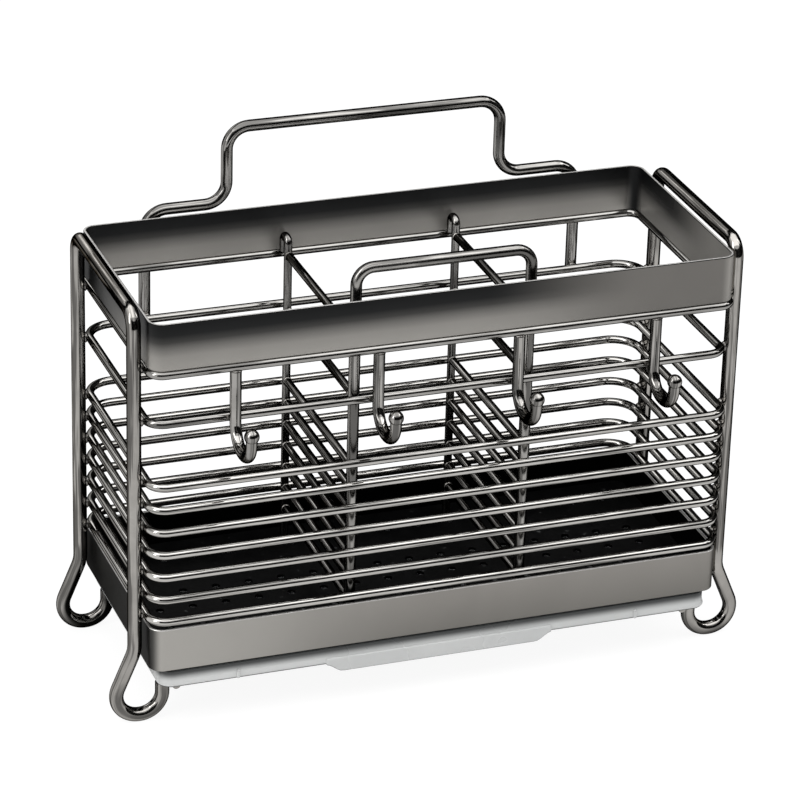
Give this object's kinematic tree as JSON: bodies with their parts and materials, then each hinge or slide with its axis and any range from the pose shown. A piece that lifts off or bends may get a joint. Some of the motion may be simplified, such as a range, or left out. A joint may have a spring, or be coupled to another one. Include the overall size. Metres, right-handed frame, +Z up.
{
  "type": "chopstick holder",
  "caption": "Wire basket that stands chopsticks upright in compartments, with utensil hooks, a hanging handle, a lift-out divider and a slide-out drip tray",
  "frame": {"origin": "on the standing surface, under the middle of the overall box", "axes": "+X along the basket, +Y from the hooks at the front to the handle at the back, +Z up"},
  "size_m": [0.2352, 0.1132, 0.1841],
  "materials": {
    "steel_band": "satin dark stainless strip",
    "steel_wire": "polished dark stainless wire",
    "dark_floor": "dark perforated plate",
    "clear_plastic": "frosted translucent white"
  },
  "bodies": {
    "basket": {"top_band": "steel_band", "bottom_band": "steel_band", "floor_plate": "dark_floor", "back_handle": "steel_wire", "ring_wire_1": "steel_wire", "ring_wire_2": "steel_wire", "ring_wire_3": "steel_wire", "ring_wire_4": "steel_wire", "ring_wire_5": "steel_wire", "ring_wire_6": "steel_wire", "ring_wire_7": "steel_wire", "ring_wire_8": "steel_wire", "ring_wire_9": "steel_wire", "leg_frame_left": "steel_wire", "leg_frame_right": "steel_wire", "hook_1": "steel_wire", "hook_2": "steel_wire", "hook_3": "steel_wire", "hook_4": "steel_wire", "tray_runner_left": "steel_wire", "tray_runner_right": "steel_wire"},
    "divider_insert": {"divider_loop": "steel_wire", "divider_post_left": "steel_wire", "divider_post_right": "steel_wire", "divider_wire_left_1": "steel_wire", "divider_wire_left_2": "steel_wire", "divider_wire_left_3": "steel_wire", "divider_wire_left_4": "steel_wire", "divider_wire_left_5": "steel_wire", "divider_wire_left_6": "steel_wire", "divider_wire_left_7": "steel_wire", "divider_wire_left_8": "steel_wire", "divider_wire_left_9": "steel_wire", "divider_wire_right_1": "steel_wire", "divider_wire_right_2": "steel_wire", "divider_wire_right_3": "steel_wire", "divider_wire_right_4": "steel_wire", "divider_wire_right_5": "steel_wire", "divider_wire_right_6": "steel_wire", "divider_wire_right_7": "steel_wire", "divider_wire_right_8": "steel_wire", "divider_wire_right_9": "steel_wire"},
    "drip_tray": {"drip_tray": "clear_plastic"}
  },
  "joints": [
    {"name": "insert_lift", "type": "slide", "parent": "basket", "child": "divider_insert", "axis": [0, 0, 1], "range_m": [0, 0.15]},
    {"name": "tray_slide", "type": "slide", "parent": "basket", "child": "drip_tray", "axis": [0, -1, 0], "range_m": [0, 0.09]}
  ]
}
